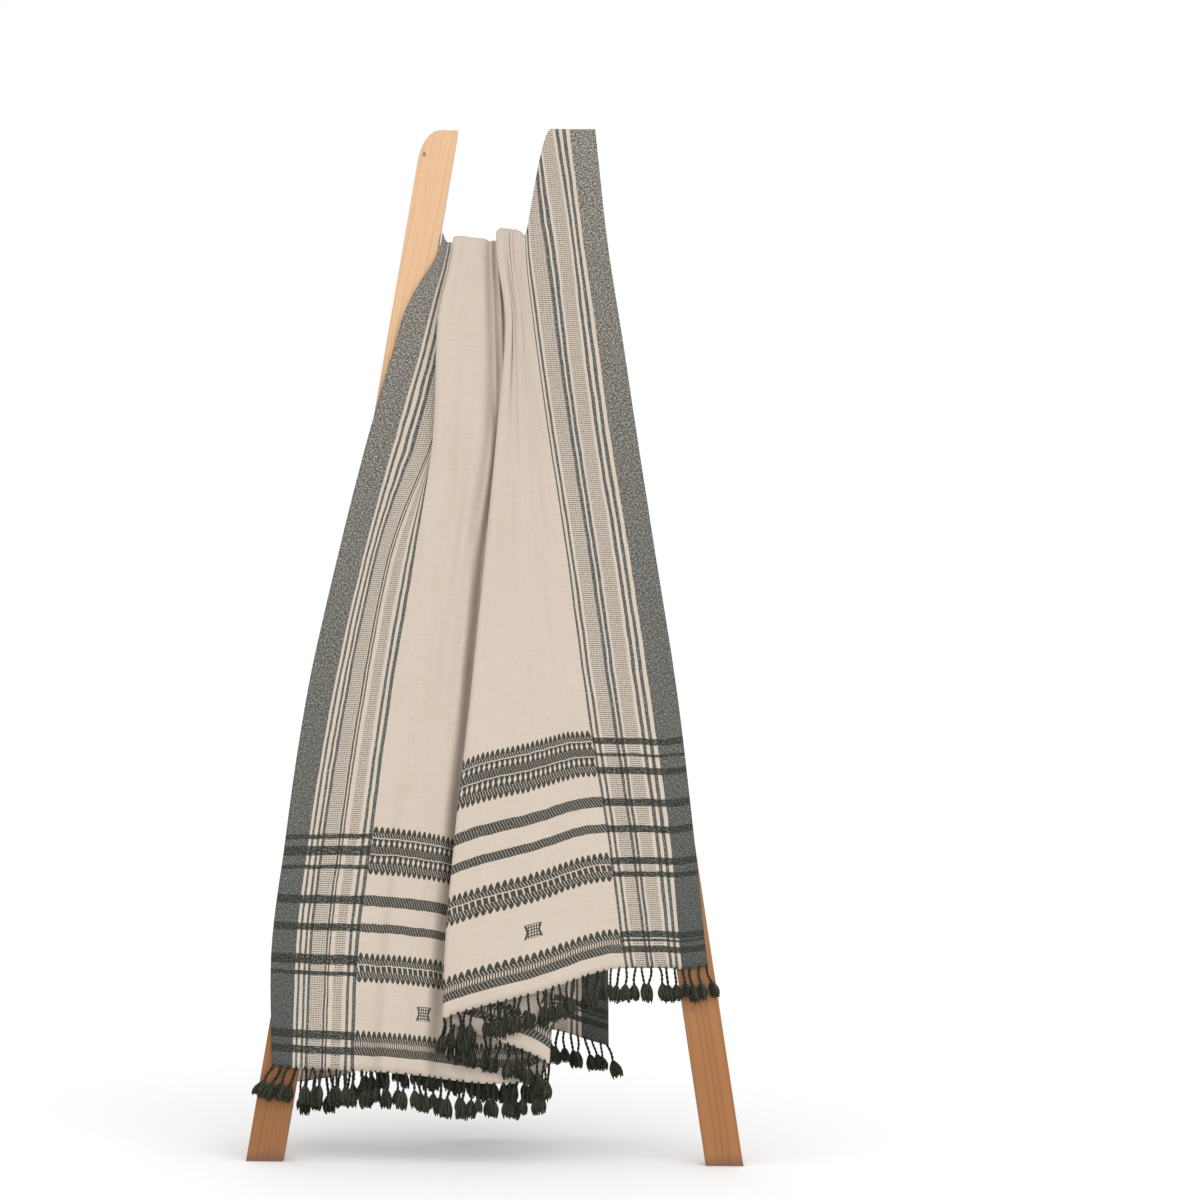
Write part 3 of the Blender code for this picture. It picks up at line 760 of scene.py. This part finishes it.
def pine_material(name, along, across, seed, foot_shade=1.0):
    """Planed pine with its grain along the piece: pale early wood, thin late lines, knots, and feet darkened
    with painted shade.
    """
    material, shader = new_material(name)
    place = Value.node("ShaderNodeTexCoord", output=3)

    def dot(vector):
        both = {0: place, 1: tuple(vector)}
        return Value.node("ShaderNodeVectorMath", both, output=1, operation="DOT_PRODUCT")

    length, side, depth = dot(along), dot(across), dot(Vector(along).cross(Vector(across)))

    def grain(fine_along, fine_across, offset, detail):
        """Noise that is drawn out along the piece."""
        scaled = {0: length * fine_along, 1: side * fine_across, 2: depth * fine_across + offset}
        return noise(Value.node("ShaderNodeCombineXYZ", scaled), 1.0, detail)

    drift = grain(2.2, 9.0, seed, 2.0)
    rings = side + depth * 0.35 + (drift - 0.5) * 0.045
    uneven = Value.math("SINE", rings * 310.0) * 1.6
    lines = Value.math("SINE", rings * (2 * math.pi / RING_PITCH) + uneven)
    wide = Value.math("SINE", rings * (2 * math.pi / BROAD_RING_PITCH) + 1.3 * seed)
    late = step_up(lines, 0.55, 0.7)
    fibres = grain(14.0, 900.0, seed, 3.0)
    cloud = grain(3.0, 20.0, 3 * seed, 2.0)
    height = Value.node("ShaderNodeSeparateXYZ", {0: place}, output=2)
    # Painted shade: the wood darkens from about 1.1 m down to the feet, as if less light reached the lower
    # ladder. A rail's own factor darkens these foot colours further, also as painted shade.
    low = 1 - step_up(height, 0.62, 0.95)
    pale = mix_colour(low, (0.665, 0.425, 0.250, 1), (0.330 * foot_shade, 0.136 * foot_shade, 0.040 * foot_shade, 1))
    deep = mix_colour(low, (0.545, 0.295, 0.135, 1), (0.210 * foot_shade, 0.074 * foot_shade, 0.021 * foot_shade, 1))
    colour = mix_colour(late * (0.12 + cloud * 0.6) + wide * 0.10 + (fibres - 0.5) * 0.5, pale, deep)
    lighter = mix_colour(low, (0.71, 0.48, 0.30, 1), (0.39 * foot_shade, 0.175 * foot_shade, 0.060 * foot_shade, 1))
    colour = mix_colour((cloud - 0.45) * 0.9, colour, lighter)
    # Darker within about 6 mm of the floor.
    darkened_base = (1 - step_up(height + (cloud - 0.5) * 0.03, 0.006, 0.012)) * 0.55
    colour = mix_colour(darkened_base, colour, (0.10, 0.055, 0.035, 1))
    for x, z, radius in KNOTS:
        spot = Value.node("ShaderNodeVectorMath", {0: place, 1: (x, 0.0, z)}, output=0, operation="SUBTRACT")
        along_grain = {0: spot, 1: (1.0, 0.0, 0.55)}
        flat = Value.node("ShaderNodeVectorMath", along_grain, output=0, operation="MULTIPLY")
        away = Value.node("ShaderNodeVectorMath", {0: flat}, output=1, operation="LENGTH")
        ring = 1 - step_up(away, radius, radius * 0.7)
        colour = mix_colour(ring * 0.75, colour, (0.20, 0.085, 0.035, 1))
    finish_surface(shader, colour, 0.50 + fibres * 0.16, fibres * 0.6 + late * 0.5, 0.0003, 0.35)
    shader.inputs["Specular IOR Level"].default_value = 0.4
    return material


# Tassels, in metres
CORD_LENGTH = 0.0225
CORD_RADIUS = 0.0017
HEAD_LENGTH = 0.0205
HEAD_RADIUS = 0.0070
NECK_RADIUS = 0.0019
STRANDS = 30
TASSEL_KINDS = 9
TASSEL_PITCH = 0.0100
FLARE = {"front": (0.62, 0.42), "back": (0.15, 0.34)}  # how far the tassels lean out at the left and right
# How far the tassels over the rails lean off them, how far from a selvedge that ends, and what it fades over
STAND_OFF = {"front": 0.16, "back": 0.0}
STAND_OFF_REACH = (0.09, 0.03)
FLARE_REACH = 0.05


def tube(path, radii, sides, start, shade, verts, faces, shades, ply=0.0):
    """A tube along the path. With ply, its outline has two lobes that turn, as two-ply yarn has."""
    base = len(verts)
    for k, (point, radius) in enumerate(zip(path, radii)):
        ahead = path[min(k + 1, len(path) - 1)] - path[max(k - 1, 0)]
        ahead.normalize()
        side = ahead.cross(Vector((0, 1, 0.3))).normalized()
        other = ahead.cross(side)
        for j in range(sides):
            angle = 2 * math.pi * j / sides
            lobe = 1 + ply * math.cos(2 * angle + start + 2.1 * k)
            verts.append(point + (side * math.cos(angle) + other * math.sin(angle)) * radius * lobe)
            shades.append(shade)
    for k in range(len(path) - 1):
        for j in range(sides):
            a, b = base + k * sides + j, base + k * sides + (j + 1) % sides
            faces.append((a, b, b + sides, a + sides))
    faces.append(tuple(base + j for j in reversed(range(sides))))
    faces.append(tuple(base + (len(path) - 1) * sides + j for j in range(sides)))


def tassel_mesh(seed):
    """One tassel that hangs from the origin: a twisted cord, a wound neck and a skirt of yarn."""
    chance = random.Random(seed)
    verts, faces, shades = [], [], []
    sway = [chance.uniform(-0.0016, 0.0016) for _ in range(2)]
    turn = chance.uniform(0, 6.3)

    def cord_point(t):
        bend = math.sin(math.pi * t)
        wave = 0.0006 * math.sin(5 * t + turn)
        return Vector((sway[0] * bend + wave, sway[1] * bend * 0.5, 0.0012 - t * (CORD_LENGTH + 0.0012)))

    steps = 13
    path = [cord_point(k / (steps - 1)) for k in range(steps)]
    radii = [CORD_RADIUS * (0.95 + 0.12 * math.sin(2.3 * k + turn)) for k in range(steps)]
    tube(path, radii, 7, turn, chance.uniform(0.1, 0.45), verts, faces, shades, ply=0.20)
    neck = path[-1]
    length = HEAD_LENGTH * chance.uniform(0.92, 1.10)
    wide = HEAD_RADIUS * chance.uniform(0.88, 1.12)
    core = [neck - Vector((0, 0, drop)) for drop in (-0.0015, 0.0025, 0.40 * length, 0.86 * length)]
    tube(core, [0.0014, 0.0026, 0.72 * wide, 0.82 * wide], 8, 0, 0.12, verts, faces, shades)
    for k in range(STRANDS):
        angle = 2 * math.pi * (k + chance.uniform(-0.3, 0.3)) / STRANDS
        out = Vector((math.cos(angle), math.sin(angle) * 0.74, 0))
        reach = wide * chance.uniform(0.80, 1.12)
        long = length * chance.uniform(0.82, 1.06)
        curl = chance.uniform(-0.0014, 0.0014)
        around = Vector((-out.y, out.x, 0))
        places = []
        for step in range(5):
            t = step / 4
            spread = math.sin(min(1.0, t * 1.4) * math.pi / 2)
            drawn_in = 1 - 0.22 * max(0, t - 0.7) / 0.3
            radius = NECK_RADIUS + (reach - NECK_RADIUS) * spread * drawn_in
            places.append(neck + out * radius + around * curl * t * t - Vector((0, 0, long * t)))
        undyed = chance.random() < 0.012
        shade = 1.0 if undyed else chance.uniform(0.0, 0.8)
        thick = chance.uniform(0.00065, 0.00100)
        tube(places, [thick * 0.8, thick, thick * 1.05, thick, thick * 0.85], 4, 0, shade, verts, faces, shades)
    mesh = bpy.data.meshes.new(f"tassel kind {seed}")
    mesh.from_pydata([tuple(v) for v in verts], [], faces)
    outward = bmesh.new()
    outward.from_mesh(mesh)
    bmesh.ops.recalc_face_normals(outward, faces=outward.faces)
    outward.to_mesh(mesh)
    outward.free()
    mesh.shade_smooth()
    mesh.attributes.new("shade", "FLOAT", "POINT").data.foreach_set("value", shades)
    return mesh


def tassel_tree(material, kinds):
    """Sets one of the tassel kinds on each point, turned and sized by the point's own values."""
    tree = bpy.data.node_groups.new("tassels on a hem", "GeometryNodeTree")
    tree.interface.new_socket("Roots", in_out="INPUT", socket_type="NodeSocketGeometry")
    tree.interface.new_socket("Size", in_out="INPUT", socket_type="NodeSocketFloat").default_value = 1.0
    tree.interface.new_socket("Tassels", in_out="OUTPUT", socket_type="NodeSocketGeometry")
    nodes, links = tree.nodes, tree.links
    start, end = nodes.new("NodeGroupInput"), nodes.new("NodeGroupOutput")
    source = nodes.new("GeometryNodeCollectionInfo")
    source.inputs["Collection"].default_value = kinds
    source.inputs["Separate Children"].default_value = True
    source.inputs["Reset Children"].default_value = True
    place = nodes.new("GeometryNodeInstanceOnPoints")
    place.inputs["Pick Instance"].default_value = True

    def named(name, kind):
        found = nodes.new("GeometryNodeInputNamedAttribute")
        found.data_type = kind
        found.inputs["Name"].default_value = name
        return next(socket for socket in found.outputs if socket.enabled and socket.name == "Attribute")

    sized = nodes.new("ShaderNodeMath")
    sized.operation = "MULTIPLY"
    links.new(named("stretch", "FLOAT"), sized.inputs[0])
    links.new(start.outputs["Size"], sized.inputs[1])
    to_rotation = nodes.new("FunctionNodeEulerToRotation")
    links.new(named("turn", "FLOAT_VECTOR"), to_rotation.inputs[0])
    links.new(start.outputs["Roots"], place.inputs["Points"])
    links.new(source.outputs[0], place.inputs["Instance"])
    links.new(named("kind", "INT"), place.inputs["Instance Index"])
    links.new(to_rotation.outputs[0], place.inputs["Rotation"])
    links.new(sized.outputs[0], place.inputs["Scale"])
    whole = nodes.new("GeometryNodeRealizeInstances")
    painted = nodes.new("GeometryNodeSetMaterial")
    painted.inputs["Material"].default_value = material
    links.new(place.outputs[0], whole.inputs[0])
    links.new(whole.outputs[0], painted.inputs["Geometry"])
    links.new(painted.outputs[0], end.inputs[0])
    return tree


def fringe(name, end, hem, inner, hang, tree, seed):
    """The tassels of one hem. hem and inner are the last two rows of the cloth there."""
    chance = random.Random(seed)
    lengths = np.concatenate([[0.0], np.cumsum(np.linalg.norm(np.diff(hem, axis=0), axis=-1))])
    usable = lengths[-1] - 2 * CORD_RADIUS
    count = int(usable / TASSEL_PITCH) + 1
    roots, turns, sizes, kinds = [], [], [], []
    for k in range(count):
        stray = chance.uniform(-0.0012, 0.0012) if 0 < k < count - 1 else 0
        wanted = CORD_RADIUS + usable * k / (count - 1) + stray
        root = Vector([np.interp(wanted, lengths, hem[:, axis]) for axis in range(3)])
        above = Vector([np.interp(wanted, lengths, inner[:, axis]) for axis in range(3)])
        i = min(int(np.searchsorted(lengths, wanted)), len(hem) - 1)
        along = Vector(hem[min(i + 1, len(hem) - 1)] - hem[max(i - 1, 0)]).normalized()
        down = (root - above).normalized()
        left, right = FLARE[end]
        from_left, from_right = k * TASSEL_PITCH, (count - 1 - k) * TASSEL_PITCH
        lean = right * max(0.0, 1 - from_right / FLARE_REACH) - left * max(0.0, 1 - from_left / FLARE_REACH)
        way = hang + along * (lean + 0.08 * math.sin(1.9 * k) + chance.uniform(-0.20, 0.20))
        by_rail = min(1.0, max(0.0, (STAND_OFF_REACH[0] - min(from_left, from_right)) / STAND_OFF_REACH[1]))
        off_ladder = STAND_OFF[end] * by_rail + chance.uniform(-0.10, 0.10)
        way = (way + down * 0.15 + down.cross(along).normalized() * off_ladder).normalized()
        back = along.cross(way).normalized()
        across = way.cross(back).normalized()
        turn = Matrix((across, back, -way)).transposed()
        if turn.determinant() < 0:
            turn = Matrix((-across, back, -way)).transposed()
        roots.append(root - down * 0.0006)
        turns.append(turn.to_euler("XYZ"))
        sizes.append(chance.uniform(0.86, 1.08))
        kinds.append(chance.randrange(TASSEL_KINDS))
    mesh = bpy.data.meshes.new(name + " roots")
    mesh.from_pydata([tuple(root) for root in roots], [], [])
    angles = [angle for turn in turns for angle in turn]
    mesh.attributes.new("turn", "FLOAT_VECTOR", "POINT").data.foreach_set("vector", angles)
    mesh.attributes.new("stretch", "FLOAT", "POINT").data.foreach_set("value", sizes)
    mesh.attributes.new("kind", "INT", "POINT").data.foreach_set("value", kinds)
    holder = bpy.data.objects.new(name + " roots", mesh)
    bpy.context.scene.collection.objects.link(holder)
    spread = holder.modifiers.new("tassels", "NODES")
    spread.node_group = tree
    inputs = (item for item in tree.interface.items_tree if item.in_out == "INPUT")
    size_input = next(item for item in inputs if item.name == "Size")
    spread[size_input.identifier] = 1.0
    holder.update_tag()
    bpy.context.view_layer.update()
    graph = bpy.context.evaluated_depsgraph_get()
    made = bpy.data.meshes.new_from_object(holder.evaluated_get(graph), depsgraph=graph)
    made.name = name
    bpy.data.objects.remove(holder, do_unlink=True)
    piece = bpy.data.objects.new(name, made)
    bpy.context.scene.collection.objects.link(piece)
    return piece


def make_textiles():
    columns = column_places()
    points = cloth_points(columns)
    cloth = add("throw_cloth", sheet_mesh("throw cloth", points, columns, THICKNESS), cloth_material())
    kinds = bpy.data.collections.new("tassel kinds")
    yarn = yarn_material()
    helpers = []
    for seed in range(TASSEL_KINDS):
        helper = bpy.data.objects.new(f"tassel_kind_{seed}", tassel_mesh(seed))
        kinds.objects.link(helper)
        helpers.append(helper)
    tree = tassel_tree(yarn, kinds)
    slope_down = Vector((0, -math.sin(LEAN), -math.cos(LEAN)))
    front = fringe("tassels_front", "front", points[0], points[1], slope_down, tree, 5)
    back = fringe("tassels_back", "back", points[-1], points[-2], Vector((0, 0, -1)), tree, 9)
    for helper in helpers:
        bpy.data.objects.remove(helper, do_unlink=True)
    bpy.data.collections.remove(kinds)
    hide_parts("cloth")
    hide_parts("fringe_front")
    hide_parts("fringe_back")
    for piece in (cloth, front, back):
        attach(piece, "root")


def dress_wood():
    """The ladder keeps its solids, with eased edges and a grain along each piece."""
    for side, sign in (("left", -1), ("right", 1)):
        along = Vector((-sign * RAIL_TAPER, math.sin(LEAN), math.cos(LEAN))).normalized()
        across = Vector((1, 0, sign * RAIL_TAPER)).normalized()
        node = NODES[f"rail_{side}"]
        # Painted shade: the left rail's feet are darker still, as the side away from the key light.
        foot_shade = 0.84 if side == "left" else 1.0
        paint(node, pine_material(f"pine {side} rail", along, across, 2.0 + sign, foot_shade))
    for k in range(1, RUNGS + 1):
        along, across = Vector((1, 0, 0)), Vector((0, math.sin(LEAN), math.cos(LEAN)))
        paint(NODES[f"rung_{k}"], pine_material(f"pine rung {k}", along, across, 5.0 + k))


def paint(node, material):
    node.data.materials.clear()
    node.data.materials.append(material)
    if not node.name.startswith("rail"):
        return
    edges = node.modifiers.new("eased edges", "BEVEL")
    edges.width = 0.0016
    edges.segments = 3
    edges.limit_method = "ANGLE"
    edges.angle_limit = math.radians(35)
    edges.harden_normals = False


def make_studio():
    scene = bpy.context.scene
    scene.view_settings.view_transform = "Standard"
    scene.view_settings.look = "None"
    floor_mesh = bpy.data.meshes.new("floor")
    reach = 40.0
    corners = [(-reach, -reach, 0), (reach, -reach, 0), (reach, reach, 0), (-reach, reach, 0)]
    floor_mesh.from_pydata(corners, [], [(0, 1, 2, 3)])
    material, shader = new_material("pale floor")
    shader.inputs["Base Color"].default_value = (0.95, 0.95, 0.95, 1)
    shader.inputs["Roughness"].default_value = 0.75
    shader.inputs["Specular IOR Level"].default_value = 0.1
    floor_mesh.materials.append(material)
    floor = bpy.data.objects.new("floor", floor_mesh)
    floor.location.z = -0.0002
    scene.collection.objects.link(floor)
    world = bpy.data.worlds.new("studio")
    world.use_nodes = True
    world.node_tree.nodes["Background"].inputs[0].default_value = (1.0, 1.0, 1.0, 1)
    world.node_tree.nodes["Background"].inputs[1].default_value = 1.0
    scene.world = world
    for name, place, spread, power in (
        ("key", (1.9, -3.6, 2.6), 70, 0.62),
        ("fill", (-1.3, -4.2, 1.6), 90, 0.45),
    ):
        light = bpy.data.lights.new(name, "SUN")
        light.angle = math.radians(spread)
        light.energy = power
        lamp = bpy.data.objects.new(name, light)
        lamp.location = place
        lamp.rotation_euler = (Vector((0, 0, 0.6)) - Vector(place)).to_track_quat("-Z", "Y").to_euler()
        scene.collection.objects.link(lamp)
    camera = bpy.data.cameras.new("camera")
    camera.sensor_width = 36.0
    camera.lens = 36.0 * CAMERA_DISTANCE / METRES_A_PIXEL / PHOTO_PIXELS
    camera.shift_x = (PHOTO_PIXELS / 2 - MIDDLE_PIXEL - 0.5) / PHOTO_PIXELS
    camera.clip_end = 200.0
    holder = bpy.data.objects.new("camera", camera)
    holder.location = (0, FLOOR_DEPTH - CAMERA_DISTANCE, CAMERA_HEIGHT)
    holder.rotation_euler = (math.pi / 2, -CAMERA_ROLL, 0)
    scene.collection.objects.link(holder)
    scene.camera = holder


make_studio()
make_textiles()
dress_wood()
